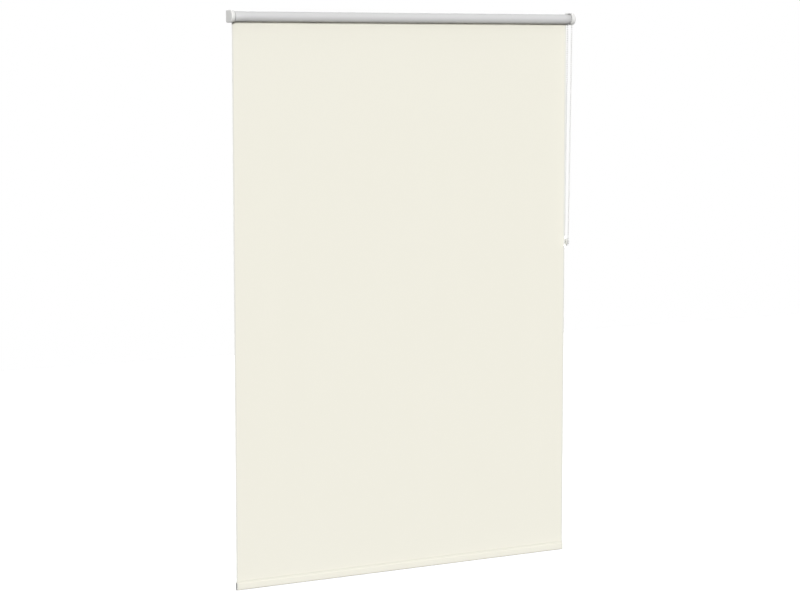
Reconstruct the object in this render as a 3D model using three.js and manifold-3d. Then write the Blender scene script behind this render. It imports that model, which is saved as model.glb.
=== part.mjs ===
// Blackout roller blind: fabric on a roller tube, worked by an endless bead chain, on two wall brackets.
// Millimetres. +X runs along the width from the idle end to the drive end, -Y points into the room, +Z up.
// The origin lies on the wall, in the middle of the idle bracket's wall flange, level with the roller axis.

import * as THREE from 'three';
import { mergeVertices } from 'three/addons/utils/BufferGeometryUtils.js';
import Module from 'manifold-3d';

const wasm = await Module();
wasm.setup();

// Whole blind
const fabricWidth = 1016;
const blindDrop = 1500;
const axisFromWall = 24;

// Clearances
const seatGap = 0.3;
const runningGap = 0.2;
const cutOverrun = 1;

// Fabric: the layer wound on the tube, the hanging panel and the hem pocket round the bottom bar
const fabricThickness = 0.45;
const wrapGap = 0.05;
const hemHeight = 25;
const hemJoinHeight = 4;
const hemJoinThickness = 1;

// Roller tube, with a channel along it that holds the fabric's edge strip
const tubeRadius = 12.5;
const tubeWall = 1;
const channelWidth = 4.6;
const channelDepth = 2.2;
const channelWall = 1;
const stripThickness = 1.6;
const stripEndSetback = 4;

// Bracket plates and their wall flanges
const plateThickness = 2.4;
const plateCornerRadius = 1;
const flangeReach = 26;
const flangeThickness = 2.2;

// Snap-on covers over the bracket plates
const coverOverRoll = 3.2;
const coverToPlate = 0.4;
const coverWall = 1.3;
const coverCornerRadius = 4;
const coverEdgeRadius = 1.6;
const idleCoverDepth = 9.2;
const driveCoverDepth = 12.5;
const driveRimToTube = 0.9;

// Wood screws, countersunk with a cross recess
const screwHeadRadius = 3.5;
const screwHeadHeight = 1.8;
const screwShankRadius = 1.7;
const screwLength = 22;
const screwTipLength = 4;
const screwRecessDepth = 1.1;
const screwRecessWidth = 0.9;
const screwRecessReach = 3.8;
const screwEdgeMargin = 2;

// Idle end: plug in the tube, sprung pin in the plug, spring and spring seat
const idleEndGap = 3.4;
const plugFlangeThickness = 2;
const plugDepth = 30;
const plugFit = 0.3;
const pinShare = 0.268;
const pinTipReach = 4.4;
const pinTailReach = 13;
const pinNeckLength = 6;
const pinTipChamfer = 1;
const pinCollarToChamber = 0.5;
const pinCollarThickness = 2;
const plugFaceWall = 4;
const chamberShare = 0.464;
const pinSpringWireRadius = 0.45;
const pinSpringTurns = 7;
const pinSpringLength = 17;
const springSeatThickness = 3;
const springSeatBoreShare = 0.67;

// Bead chain and the wheel that drives it
const chainRadius = 2.25;
const beadPitch = 6;
const wheelInset = 2;
const wheelSidesPerBead = 4;
const chainToFabric = 0.65;
const chainEndGap = 0.4;
const innerRimThickness = 1;
const innerRimReach = 0.5;
const outerRimThickness = 1.4;
const outerRimReach = 1.8;
const rimNotchRadius = 1.5;
const wheelToPlate = 0.45;
const fingerToKeyway = 0.6;
const fingerLength = 30;
const fingerArc = 0.9;

// Clutch: fixed post, two wrap springs, drum in the tube and the clip on the post's end
const postLugShare = 1.4;
const postLugReach = 1.8;
const drumToWheel = 0.4;
const drumLength = 40;
const drumEndWall = 3;
const drumBoreShare = 0.625;
const drumKeywayShare = 0.821;
const drumKeywayArc = 1.7;
const clipThickness = 0.8;
const clipReach = 2.4;
const clipGrooveDepth = 1.1;
const clipMouthArc = 1.3;
const postTailLength = 1.6;
const wrapSpringWireRadius = 0.5;
const wrapSpringGap = 0.6;
const wrapSpringToBore = 0.4;
const wrapSpringTurns = 5;
const wrapSpringPitch = 1.6;
const wrapSpringTangAngle = 0.6;
const wrapSpringFlareArc = 0.26;
const wrapSpringSpacing = 13;
const wrapSpringSetIn = 6;

// Where along a wrap spring's flared end its points lie
const flareShares = [0, 0.35, 0.7];

// Bottom bar: flat oval aluminium profile with an end cap in each end
const barWidth = 20;
const barThickness = 7.2;
const barWall = 0.9;
const barCapThickness = 1.2;
const barCapRecess = 0.4;
const barCapSpigotLength = 10;

// Chain tensioner on the wall below the drive end
const tensionerDrop = 620;
const pulleyPitchRadius = 9;
const pulleyRimThickness = 0.9;
const pulleyRimRadius = 8.6;
const pulleyToFabric = 0.75;
const pulleyToCheek = 0.35;
const pulleyRecessRadius = 3.1;
const pulleyRecessDepth = 1;
const cheekThickness = 1.6;
const cheekRadius = 6.5;
const cheekCornerRadius = 0.5;
const tensionerPlateThickness = 2;
const tensionerPlateWidth = 24;
const tensionerPlateHeight = 34;
const chainToTensionerPlate = 0.55;
const axleRadius = 1.5;
const axleHeadRadius = 2.6;
const axleHeadThickness = 0.7;
const axleTailReach = 1;
const tensionerScrewSpacing = 20;

// Each bracket has two screws, half the spacing above and below its middle
const screwShares = { upper: 0.5, lower: -0.5 };

// Fineness of round shapes
const tubeSides = 48;
const hubSides = 32;
const smallSides = 20;
const notchSides = 10;
const chainSides = 10;
const wireSides = 5;
const coilStepsPerTurn = 8;
const arcSteps = 10;
const fingerArcSteps = 5;
const ovalSteps = 5;
const wheelArcSteps = 6;
const runSteps = 28;
const bevelSteps = 3;

// Radii of the roller and of what turns in it
const axisY = -axisFromWall;
const tubeBore = tubeRadius - tubeWall;
const plugRadius = tubeBore - plugFit;
const wrapInnerRadius = tubeRadius + wrapGap;
const wrapOuterRadius = wrapInnerRadius + fabricThickness;
const chamberRadius = chamberShare * plugRadius;
const pinRadius = pinShare * plugRadius;
const pinCollarRadius = chamberRadius - pinCollarToChamber;
const springSeatBoreRadius = springSeatBoreShare * pinRadius;
const drumBoreRadius = drumBoreShare * plugRadius;
const drumKeywayRadius = drumKeywayShare * plugRadius;
const fingerOuterRadius = drumKeywayRadius - fingerToKeyway;
const wrapSpringTangRadius = fingerOuterRadius - wrapSpringWireRadius;
const wrapSpringRadius = drumBoreRadius - wrapSpringToBore - wrapSpringWireRadius;
const postRadius = wrapSpringRadius - wrapSpringWireRadius - wrapSpringGap;
const postLugWidth = postLugShare * postRadius;
const clipOuterRadius = postRadius + clipReach;

// The wheel takes as many beads as fit round the tube
const wheelBeads = Math.round((2 * Math.PI * (tubeRadius - wheelInset)) / beadPitch);
const wheelPitchRadius = (beadPitch * wheelBeads) / (2 * Math.PI);
const grooveHalfWidth = chainRadius + seatGap;
const wheelGrooveRadius = wheelPitchRadius - grooveHalfWidth;
const innerRimRadius = wheelPitchRadius + innerRimReach;
const outerRimRadius = wheelPitchRadius + outerRimReach;

// Covers stand proud of the roll, and the plates lie just inside them
const coverRadius = wrapOuterRadius + coverOverRoll;
const plateRadius = coverRadius - coverWall - coverToPlate;
const bracketScrewSpacing = 2 * (plateRadius - screwHeadRadius - screwEdgeMargin);

// Places along X, measured from the origin in the middle of the idle flange
const idlePlateOuter = -flangeReach / 2;
const idlePlateInner = idlePlateOuter + plateThickness;
const tubeStart = idlePlateInner + idleEndGap;
const tubeEnd = tubeStart + fabricWidth;
const chainPlane = tubeEnd + chainToFabric + chainRadius;
const wheelInner = chainPlane - grooveHalfWidth - innerRimThickness;
const wheelOuter = chainPlane + grooveHalfWidth + outerRimThickness;
const drivePlateInner = wheelOuter + wheelToPlate;
const drivePlateOuter = drivePlateInner + plateThickness;
const driveFlangeMiddle = drivePlateOuter - flangeReach / 2;
const drumOuterFace = wheelInner - drumToWheel;
const drumInnerFace = drumOuterFace - drumLength;
const pulleyPlane = tubeEnd + pulleyToFabric + pulleyRimThickness + grooveHalfWidth;

// Places along Y and Z
const pulleyY = -(tensionerPlateThickness + chainToTensionerPlate + chainRadius + pulleyPitchRadius);
const panelFrontY = axisY + wrapOuterRadius + seatGap;
const panelMiddleY = panelFrontY + fabricThickness / 2;
const hemTopZ = -blindDrop + hemHeight;
const barMiddleZ = -blindDrop + fabricThickness + seatGap + barWidth / 2;

// Colours and finishes
const finish = (color, roughness, metalness) => {
  return new THREE.MeshStandardMaterial({ color, roughness, metalness });
};
const whitePlastic = finish(0xeeeeec, 0.45, 0);
const greyPlastic = finish(0x9a9a96, 0.5, 0);
const darkPlastic = finish(0x3a3b3d, 0.5, 0);
const clearPlastic = finish(0xe6ecec, 0.2, 0);
const creamFabric = finish(0xf0eee1, 0.85, 0);
const coatedFabric = finish(0xdcdcdc, 0.7, 0);
const aluminium = finish(0xb9bcc0, 0.35, 0.9);
const zincSteel = finish(0xa9abae, 0.3, 1);

const blind = new THREE.Group();

// Groups for what hangs on the roller axis and on the tensioner's axle
const onRollerAxis = new THREE.Group();
onRollerAxis.position.set(0, axisY, 0);
const onTensionerAxle = new THREE.Group();
onTensionerAxle.position.set(0, pulleyY, -tensionerDrop);
const onWall = new THREE.Group();
const onFabricPlane = new THREE.Group();
onFabricPlane.position.set(0, panelMiddleY, 0);
blind.add(onRollerAxis, onTensionerAxle, onWall, onFabricPlane);

// Shape tools

// Keeps positions only, merges shared vertices, drops collapsed triangles and turns the faces outwards
function closedBody(geometry) {
  const bare = geometry.clone();
  for (const name of Object.keys(bare.attributes)) {
    if (name !== 'position') {
      bare.deleteAttribute(name);
    }
  }
  const merged = mergeVertices(bare);
  const at = merged.getAttribute('position');
  const corners = [0, 0, 0].map(() => new THREE.Vector3());
  const kept = [];
  let volume = 0;
  for (let i = 0; i < merged.index.count; i += 3) {
    const triangle = [0, 1, 2].map((k) => merged.index.getX(i + k));
    if (new Set(triangle).size === triangle.length) {
      kept.push(triangle);
      triangle.forEach((vertex, k) => corners[k].fromBufferAttribute(at, vertex));
      volume += corners[0].dot(corners[1].cross(corners[2]));
    }
  }
  merged.setIndex(kept.flatMap((triangle) => (volume < 0 ? triangle.reverse() : triangle)));
  return merged;
}

function toSolid(geometry) {
  const body = closedBody(geometry);
  const vertProperties = new Float32Array(body.getAttribute('position').array);
  const triVerts = new Uint32Array(body.index.array);
  return new wasm.Manifold(new wasm.Mesh({ numProp: 3, vertProperties, triVerts }));
}

function fromSolid(solid) {
  const mesh = solid.getMesh();
  const geometry = new THREE.BufferGeometry();
  geometry.setAttribute('position', new THREE.Float32BufferAttribute(mesh.vertProperties, 3));
  geometry.setIndex(Array.from(mesh.triVerts));
  return geometry;
}

function cut(geometry, ...cutters) {
  const rest = cutters.reduce((solid, cutter) => solid.subtract(toSolid(cutter)), toSolid(geometry));
  return fromSolid(rest);
}

function join(geometry, ...others) {
  const whole = others.reduce((solid, other) => solid.add(toSolid(other)), toSolid(geometry));
  return fromSolid(whole);
}

// A profile of [x, radius] points turned round the X axis
function turned(profile, sides) {
  const points = profile.map(([x, radius]) => new THREE.Vector2(radius, x));
  const geometry = new THREE.LatheGeometry(points, sides);
  const axes = [new THREE.Vector3(0, 0, 1), new THREE.Vector3(1, 0, 0), new THREE.Vector3(0, 1, 0)];
  return geometry.applyMatrix4(new THREE.Matrix4().makeBasis(...axes));
}

function rod(startX, endX, radius, sides) {
  return turned([[startX, 0], [startX, radius], [endX, radius], [endX, 0]], sides);
}

function ring(startX, endX, innerRadius, outerRadius, sides) {
  const profile = [
    [startX, innerRadius],
    [startX, outerRadius],
    [endX, outerRadius],
    [endX, innerRadius],
    [startX, innerRadius],
  ];
  return turned(profile, sides);
}

// A shape drawn in Y and Z, pushed along X from startX to endX
function across(shape, startX, endX, options = {}) {
  const settings = { bevelEnabled: false, depth: endX - startX, ...options };
  const geometry = new THREE.ExtrudeGeometry(shape, settings);
  const axes = [new THREE.Vector3(0, 1, 0), new THREE.Vector3(0, 0, 1), new THREE.Vector3(1, 0, 0)];
  return geometry.applyMatrix4(new THREE.Matrix4().makeBasis(...axes)).translate(startX, 0, 0);
}

function block([lowX, highX], [lowY, highY], [lowZ, highZ]) {
  const geometry = new THREE.BoxGeometry(highX - lowX, highY - lowY, highZ - lowZ);
  return geometry.translate((lowX + highX) / 2, (lowY + highY) / 2, (lowZ + highZ) / 2);
}

// Half round at the front, square to the wall at the back, its corners rounded
function wallProfile(radius, backReach, cornerRadius) {
  const shape = new THREE.Shape();
  shape.absarc(0, 0, radius, Math.PI / 2, -Math.PI / 2, false);
  shape.absarc(backReach - cornerRadius, cornerRadius - radius, cornerRadius, -Math.PI / 2, 0, false);
  shape.absarc(backReach - cornerRadius, radius - cornerRadius, cornerRadius, 0, Math.PI / 2, false);
  return shape;
}

// Flat oval standing on edge: straight sides with half-round top and bottom
function flatOval(width, thickness) {
  const radius = thickness / 2;
  const shape = new THREE.Shape();
  shape.absarc(0, width / 2 - radius, radius, 0, Math.PI, false);
  shape.absarc(0, radius - width / 2, radius, Math.PI, 2 * Math.PI, false);
  return shape;
}

// Part of a ring between two radii, centred on an angle measured from +Y towards +Z
function ringArc(innerRadius, outerRadius, middle, arc) {
  const shape = new THREE.Shape();
  shape.absarc(0, 0, outerRadius, middle - arc / 2, middle + arc / 2, false);
  shape.absarc(0, 0, innerRadius, middle + arc / 2, middle - arc / 2, true);
  return shape;
}

// A route of straight steps through listed points, with a section of the tube at each point
class Route extends THREE.Curve {
  constructor(points) {
    super();
    this.points = points;
  }

  getPoint(t) {
    const place = t * (this.points.length - 1);
    const before = Math.min(Math.floor(place), this.points.length - 2);
    return this.points[before].clone().lerp(this.points[before + 1], place - before);
  }

  getPointAt(t) {
    return this.getPoint(t);
  }

  getTangentAt(t) {
    const place = Math.round(t * (this.points.length - 1));
    const before = this.points[Math.max(place - 1, 0)];
    const after = this.points[Math.min(place + 1, this.points.length - 1)];
    return after.clone().sub(before).normalize();
  }
}

function tubeAlong(points, radius, sides) {
  const section = new THREE.Shape();
  for (let i = 0; i < sides; i += 1) {
    const angle = (2 * Math.PI * i) / sides;
    const corner = [radius * Math.cos(angle), radius * Math.sin(angle)];
    if (i === 0) {
      section.moveTo(...corner);
    } else {
      section.lineTo(...corner);
    }
  }
  const settings = { steps: points.length - 1, extrudePath: new Route(points) };
  return new THREE.ExtrudeGeometry(section, settings);
}

function leastGap(points, radius, turnPoints) {
  let least = Infinity;
  points.forEach((point, i) => {
    points.slice(i + turnPoints / 2).forEach((other) => {
      least = Math.min(least, point.distanceTo(other) - 2 * radius);
    });
  });
  return least;
}

function place(group, name, geometry, material) {
  const mesh = new THREE.Mesh(closedBody(geometry), material);
  mesh.name = name;
  group.add(mesh);
  return mesh;
}

// Brackets, covers and screws

function screwHole(x, z, plate) {
  const profile = [
    [0, -plate - cutOverrun],
    [screwHeadRadius + seatGap, -plate - cutOverrun],
    [screwHeadRadius + seatGap, -plate],
    [screwShankRadius + seatGap, screwHeadHeight - plate],
    [screwShankRadius + seatGap, cutOverrun],
    [0, cutOverrun],
  ];
  const points = profile.map(([radius, y]) => new THREE.Vector2(radius, y));
  return new THREE.LatheGeometry(points, smallSides).translate(x, 0, z);
}

function screw(plate) {
  const head = -plate;
  const tip = head + screwLength;
  const profile = [
    [0, head],
    [screwHeadRadius, head],
    [screwShankRadius, head + screwHeadHeight],
    [screwShankRadius, tip - screwTipLength],
    [0, tip],
  ];
  const points = profile.map(([radius, y]) => new THREE.Vector2(radius, y));
  const recess = [head - cutOverrun, head + screwRecessDepth];
  const narrow = [-screwRecessWidth / 2, screwRecessWidth / 2];
  const wide = [-screwRecessReach / 2, screwRecessReach / 2];
  const body = new THREE.LatheGeometry(points, smallSides);
  return cut(body, block(wide, recess, narrow), block(narrow, recess, wide));
}

function placeScrews(name, x, middleZ, spacing, plate) {
  Object.entries(screwShares).forEach(([level, share]) => {
    const mesh = place(onWall, `${name}_${level}`, screw(plate), zincSteel);
    mesh.position.set(x, 0, middleZ + spacing * share);
  });
}

// The plate stands off the wall at the flange's edge; the flange runs inwards behind the roller
function bracket(plateStart, flangeStart, holeCutter) {
  const plate = across(
    wallProfile(plateRadius, axisFromWall, plateCornerRadius),
    plateStart,
    plateStart + plateThickness,
    { curveSegments: arcSteps },
  );
  const flangeY = [axisFromWall - flangeThickness, axisFromWall];
  const flange = block([flangeStart, flangeStart + flangeReach], flangeY, [-plateRadius, plateRadius]);
  const holes = Object.values(screwShares).map((share) => {
    const hole = screwHole(flangeStart + flangeReach / 2, bracketScrewSpacing * share, flangeThickness);
    return hole.translate(0, axisFromWall, 0);
  });
  return cut(join(plate, flange), holeCutter, ...holes);
}

// A hollow cap, closed at closedX and open at rimX, with a notch in its wall side for the bracket's flange
function cover(closedX, rimX, notchEndX) {
  const outwards = Math.sign(closedX - rimX);
  const toBack = axisFromWall - seatGap;
  const outer = wallProfile(coverRadius - coverEdgeRadius, toBack - coverEdgeRadius, coverCornerRadius);
  const inner = wallProfile(coverRadius - coverWall, toBack - coverWall, coverCornerRadius);
  const edge = {
    curveSegments: arcSteps,
    bevelEnabled: true,
    bevelThickness: coverEdgeRadius,
    bevelSize: coverEdgeRadius,
    bevelSegments: bevelSteps,
  };
  const span = [closedX - outwards * coverEdgeRadius, rimX - outwards * coverEdgeRadius];
  const shell = across(outer, Math.min(...span), Math.max(...span), edge);
  const hollow = [closedX - outwards * coverWall, rimX - outwards * (2 * coverEdgeRadius + cutOverrun)];
  const bore = across(inner, Math.min(...hollow), Math.max(...hollow), { curveSegments: arcSteps });
  const spare = [rimX, rimX - outwards * (2 * coverEdgeRadius + cutOverrun)];
  const reach = coverRadius + cutOverrun;
  const trimX = [Math.min(...spare), Math.max(...spare)];
  const trim = block(trimX, [-reach, axisFromWall + cutOverrun], [-reach, reach]);
  const notchX = [rimX - outwards * cutOverrun, notchEndX + outwards * seatGap];
  const notch = block(
    [Math.min(...notchX), Math.max(...notchX)],
    [toBack - coverWall - coverCornerRadius, axisFromWall + cutOverrun],
    [-plateRadius - seatGap, plateRadius + seatGap],
  );
  return cut(shell, bore, trim, notch);
}

function makeIdleEnd() {
  const holeX = [idlePlateOuter - cutOverrun, idlePlateInner + cutOverrun];
  const pinHole = rod(...holeX, pinRadius + runningGap, hubSides);
  place(onRollerAxis, 'idle_bracket', bracket(idlePlateOuter, idlePlateOuter, pinHole), whitePlastic);
  const shell = cover(idlePlateInner - idleCoverDepth, idlePlateInner, idlePlateOuter);
  place(onRollerAxis, 'idle_cover', shell, whitePlastic);
  placeScrews('idle_screw', 0, 0, bracketScrewSpacing, flangeThickness);
}

function makeDriveEnd() {
  const lugHole = block(
    [drivePlateInner - cutOverrun, drivePlateOuter + cutOverrun],
    [-postLugWidth / 2 - seatGap, postLugWidth / 2 + seatGap],
    [-postLugWidth / 2 - seatGap, postLugWidth / 2 + seatGap],
  );
  const flangeStart = drivePlateOuter - flangeReach;
  place(onRollerAxis, 'drive_bracket', bracket(drivePlateInner, flangeStart, lugHole), whitePlastic);
  placeScrews('drive_screw', driveFlangeMiddle, 0, bracketScrewSpacing, flangeThickness);

  const rim = tubeEnd + driveRimToTube;
  const runReach = wheelPitchRadius + chainRadius + 2 * seatGap;
  const chainSlot = block(
    [rim - cutOverrun, chainPlane + grooveHalfWidth + seatGap],
    [-runReach, runReach],
    [-coverRadius - cutOverrun, -wheelGrooveRadius],
  );
  const shell = cut(cover(rim + driveCoverDepth, rim, drivePlateOuter), chainSlot);
  place(onRollerAxis, 'drive_cover', shell, whitePlastic);
}

// Roller

// The tube's channel runs along its top; plugs have a keyway that clears the channel's inside
function channelKeyway(startX, endX) {
  const halfWidth = channelWidth / 2 + channelWall + plugFit;
  const floor = tubeRadius - channelDepth - channelWall - plugFit;
  return block([startX, endX], [-halfWidth, halfWidth], [floor, tubeRadius + cutOverrun]);
}

function makeRollerTube() {
  const shell = ring(tubeStart, tubeEnd, tubeBore, tubeRadius, tubeSides);
  const floor = tubeRadius - channelDepth;
  const outerHalf = channelWidth / 2 + channelWall;
  const troughZ = [floor - channelWall, tubeRadius - tubeWall / 2];
  const trough = block([tubeStart, tubeEnd], [-outerHalf, outerHalf], troughZ);
  const channel = block(
    [tubeStart - cutOverrun, tubeEnd + cutOverrun],
    [-channelWidth / 2, channelWidth / 2],
    [floor, tubeRadius + cutOverrun],
  );
  // The chain wheel's inner rim turns just inside the tube's end
  const wheelRoom = rod(wheelInner - seatGap, tubeEnd + cutOverrun, innerRimRadius + seatGap, tubeSides);
  place(onRollerAxis, 'roller_tube', cut(join(shell, trough), channel, wheelRoom), aluminium);

  const halfStrip = channelWidth / 2 - seatGap;
  const strip = block(
    [tubeStart + stripEndSetback, tubeEnd - stripEndSetback],
    [-halfStrip, halfStrip],
    [floor + seatGap, floor + seatGap + stripThickness],
  );
  place(onRollerAxis, 'fabric_edge_strip', strip, clearPlastic);

  const wrap = ring(tubeStart, tubeEnd, wrapInnerRadius, wrapOuterRadius, tubeSides);
  place(onRollerAxis, 'fabric_wrap', wrap, coatedFabric);
}

function makeIdlePlug() {
  const flangeStart = tubeStart - seatGap - plugFlangeThickness;
  const flangeEnd = tubeStart - seatGap;
  const plugEnd = tubeStart + plugDepth;
  const chamberStart = flangeStart + plugFaceWall;
  const body = turned(
    [
      [flangeStart, 0],
      [flangeStart, tubeRadius],
      [flangeEnd, tubeRadius],
      [flangeEnd, plugRadius],
      [plugEnd, plugRadius],
      [plugEnd, 0],
    ],
    hubSides,
  );
  const bore = rod(flangeStart - cutOverrun, chamberStart + cutOverrun, pinRadius + runningGap, hubSides);
  const chamber = rod(chamberStart, plugEnd + cutOverrun, chamberRadius, hubSides);
  const keyway = channelKeyway(flangeEnd, plugEnd + cutOverrun);
  place(onRollerAxis, 'idle_plug', cut(body, bore, chamber, keyway), whitePlastic);

  const tip = idlePlateInner - pinTipReach;
  const collarStart = chamberStart + seatGap;
  const collarEnd = collarStart + pinCollarThickness;
  const tail = collarEnd + pinTailReach;
  const neckStart = tail - pinNeckLength;
  const pin = turned(
    [
      [tip, 0],
      [tip, pinRadius - pinTipChamfer],
      [tip + pinTipChamfer, pinRadius],
      [collarStart, pinRadius],
      [collarStart, pinCollarRadius],
      [collarEnd, pinCollarRadius],
      [collarEnd, pinRadius],
      [neckStart, pinRadius],
      [neckStart, springSeatBoreRadius - runningGap],
      [tail, springSeatBoreRadius - runningGap],
      [tail, 0],
    ],
    hubSides,
  );
  place(onRollerAxis, 'idle_pin', pin, greyPlastic);

  const springStart = collarEnd + seatGap + pinSpringWireRadius;
  const springEnd = springStart + pinSpringLength - 2 * pinSpringWireRadius;
  const coilRadius = (pinRadius + chamberRadius) / 2;
  const points = coil(springStart, springEnd, coilRadius, pinSpringTurns);
  report('idle_pin_spring', points, pinSpringWireRadius);
  place(onRollerAxis, 'idle_pin_spring', tubeAlong(points, pinSpringWireRadius, wireSides), zincSteel);

  const seatStart = springEnd + pinSpringWireRadius + seatGap;
  const seatEnd = seatStart + springSeatThickness;
  const seatRadius = chamberRadius - runningGap;
  const seat = ring(seatStart, seatEnd, springSeatBoreRadius, seatRadius, hubSides);
  place(onRollerAxis, 'idle_spring_seat', seat, greyPlastic);
}

// Coil springs

function onCircle(x, radius, angle) {
  return new THREE.Vector3(x, radius * Math.cos(angle), radius * Math.sin(angle));
}

function coil(startX, endX, radius, turns) {
  const count = turns * coilStepsPerTurn;
  return Array.from({ length: count + 1 }, (_, i) => {
    return onCircle(startX + ((endX - startX) * i) / count, radius, (2 * Math.PI * i) / coilStepsPerTurn);
  });
}

// Turns round the post from one tang to the other; each tang flares out into the drum's keyway
function wrapSpring(middleX) {
  const firstAngle = wrapSpringTangAngle - Math.PI / 2;
  const sweep = 2 * Math.PI * wrapSpringTurns - 2 * wrapSpringTangAngle;
  const steps = Math.round((sweep / (2 * Math.PI)) * coilStepsPerTurn);
  const startX = middleX - (wrapSpringPitch * wrapSpringTurns) / 2;
  const stepX = wrapSpringPitch * wrapSpringTurns;
  const shares = [
    ...flareShares.map((share) => (share * wrapSpringFlareArc) / sweep),
    ...Array.from({ length: steps - 1 }, (_, i) => (i + 1) / steps),
    ...flareShares.map((share) => 1 - (share * wrapSpringFlareArc) / sweep).reverse(),
  ];
  return shares.map((share) => {
    const fromEnd = Math.min(share, 1 - share) * sweep;
    const flare = Math.max(0, 1 - fromEnd / wrapSpringFlareArc);
    const radius = wrapSpringRadius + (wrapSpringTangRadius - wrapSpringRadius) * flare;
    return onCircle(startX + stepX * share, radius, firstAngle + sweep * share);
  });
}

function report(name, points, radius) {
  const gap = leastGap(points, radius, coilStepsPerTurn);
  console.log(`${name}: least gap between turns ${gap.toFixed(2)} mm`);
}

// Drive

// A point of the half-round groove that the chain lies in, from the inner rim at angle 0 to the outer one
function grooveFloor(middleX, pitchRadius, angle) {
  const x = middleX - grooveHalfWidth * Math.cos(angle);
  return [x, pitchRadius - grooveHalfWidth * Math.sin(angle)];
}

function makeChainWheel() {
  const groove = Array.from({ length: arcSteps + 1 }, (_, i) => {
    return grooveFloor(chainPlane, wheelPitchRadius, (Math.PI * i) / arcSteps);
  });
  const bore = postRadius + runningGap;
  const profile = [
    [wheelInner, bore],
    [wheelInner, innerRimRadius],
    [chainPlane - grooveHalfWidth, innerRimRadius],
    ...groove,
    [chainPlane + grooveHalfWidth, outerRimRadius],
    [wheelOuter, outerRimRadius],
    [wheelOuter, bore],
    [wheelInner, bore],
  ];
  const notches = Array.from({ length: wheelBeads }, (_, i) => {
    const angle = (2 * Math.PI * i) / wheelBeads;
    const notch = rod(chainPlane, wheelOuter + cutOverrun, rimNotchRadius, notchSides);
    return notch.translate(0, outerRimRadius * Math.cos(angle), outerRimRadius * Math.sin(angle));
  });
  const finger = across(
    ringArc(drumBoreRadius, fingerOuterRadius, -Math.PI / 2, fingerArc),
    wheelInner - fingerLength,
    wheelInner + innerRimThickness / 2,
    { curveSegments: fingerArcSteps },
  );
  const rims = cut(turned(profile, wheelBeads * wheelSidesPerBead), ...notches);
  place(onRollerAxis, 'chain_wheel', join(rims, finger), whitePlastic);
}

function makeClutch() {
  const drumBody = rod(drumInnerFace, drumOuterFace, plugRadius, hubSides);
  const drumBore = rod(drumInnerFace + drumEndWall, drumOuterFace + cutOverrun, drumBoreRadius, hubSides);
  const postBore = rod(drumInnerFace - cutOverrun, drumOuterFace, postRadius + runningGap, hubSides);
  const fingerWay = across(
    ringArc(drumBoreRadius - cutOverrun, drumKeywayRadius, -Math.PI / 2, drumKeywayArc),
    drumInnerFace + drumEndWall,
    drumOuterFace + cutOverrun,
    { curveSegments: arcSteps },
  );
  const keyway = channelKeyway(drumInnerFace - cutOverrun, drumOuterFace + cutOverrun);
  place(onRollerAxis, 'clutch_drum', cut(drumBody, drumBore, postBore, fingerWay, keyway), greyPlastic);

  const clipEnd = drumInnerFace - seatGap;
  const clipStart = clipEnd - clipThickness;
  const clipSeatRadius = postRadius - clipGrooveDepth;
  const shoulder = drivePlateInner - seatGap;
  const shaft = turned(
    [
      [clipStart - seatGap - postTailLength, 0],
      [clipStart - seatGap - postTailLength, postRadius],
      [clipStart - seatGap, postRadius],
      [clipStart - seatGap, clipSeatRadius],
      [clipEnd + seatGap, clipSeatRadius],
      [clipEnd + seatGap, postRadius],
      [shoulder, postRadius],
      [shoulder, 0],
    ],
    hubSides,
  );
  const halfLug = postLugWidth / 2;
  const lugX = [shoulder - cutOverrun, drivePlateOuter + postLugReach];
  const lug = block(lugX, [-halfLug, halfLug], [-halfLug, halfLug]);
  place(onRollerAxis, 'clutch_post', join(shaft, lug), greyPlastic);

  const clip = across(
    ringArc(clipSeatRadius + runningGap, clipOuterRadius, Math.PI / 2, 2 * Math.PI - clipMouthArc),
    clipStart,
    clipEnd,
    { curveSegments: arcSteps },
  );
  place(onRollerAxis, 'post_clip', clip, zincSteel);

  ['outer', 'inner'].forEach((end, i) => {
    const halfSpan = (wrapSpringPitch * wrapSpringTurns) / 2;
    const points = wrapSpring(drumOuterFace - wrapSpringSetIn - halfSpan - wrapSpringSpacing * i);
    report(`wrap_spring_${end}`, points, wrapSpringWireRadius);
    const wound = tubeAlong(points, wrapSpringWireRadius, wireSides);
    place(onRollerAxis, `wrap_spring_${end}`, wound, zincSteel);
  });
}

// Endless chain: over the wheel, down the front, round the pulley and up the back.
// Angles start at the front, -Y, and grow over the top.
function chainRoute() {
  const wheel = { x: chainPlane, y: axisY, z: 0, radius: wheelPitchRadius };
  const pulley = { x: pulleyPlane, y: pulleyY, z: -tensionerDrop, radius: pulleyPitchRadius };
  const apart = Math.hypot(pulley.y - wheel.y, pulley.z - wheel.z);
  const downwards = Math.atan2(pulley.z - wheel.z, wheel.y - pulley.y);
  const spread = Math.acos((wheel.radius - pulley.radius) / apart);
  const front = downwards + spread;
  const back = downwards - spread;
  const top = Math.PI / 2;
  const halfGap = chainEndGap / 2 / wheel.radius;
  const arc = ({ x, y, z, radius }, from, to, steps) => {
    return Array.from({ length: steps + 1 }, (_, i) => {
      const angle = from + ((to - from) * i) / steps;
      return new THREE.Vector3(x, y - radius * Math.cos(angle), z + radius * Math.sin(angle));
    });
  };
  const run = (from, to) => {
    return Array.from({ length: runSteps - 1 }, (_, i) => from.clone().lerp(to, (i + 1) / runSteps));
  };
  const over = arc(wheel, top - halfGap, front, wheelArcSteps);
  const under = arc(pulley, front, back, 2 * wheelArcSteps);
  const home = arc(wheel, back, top + halfGap - 2 * Math.PI, wheelArcSteps);
  return [...over, ...run(over.at(-1), under[0]), ...under, ...run(under.at(-1), home[0]), ...home];
}

function makeChain() {
  place(onWall, 'control_chain', tubeAlong(chainRoute(), chainRadius, chainSides), whitePlastic);
}

// Tensioner

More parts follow.
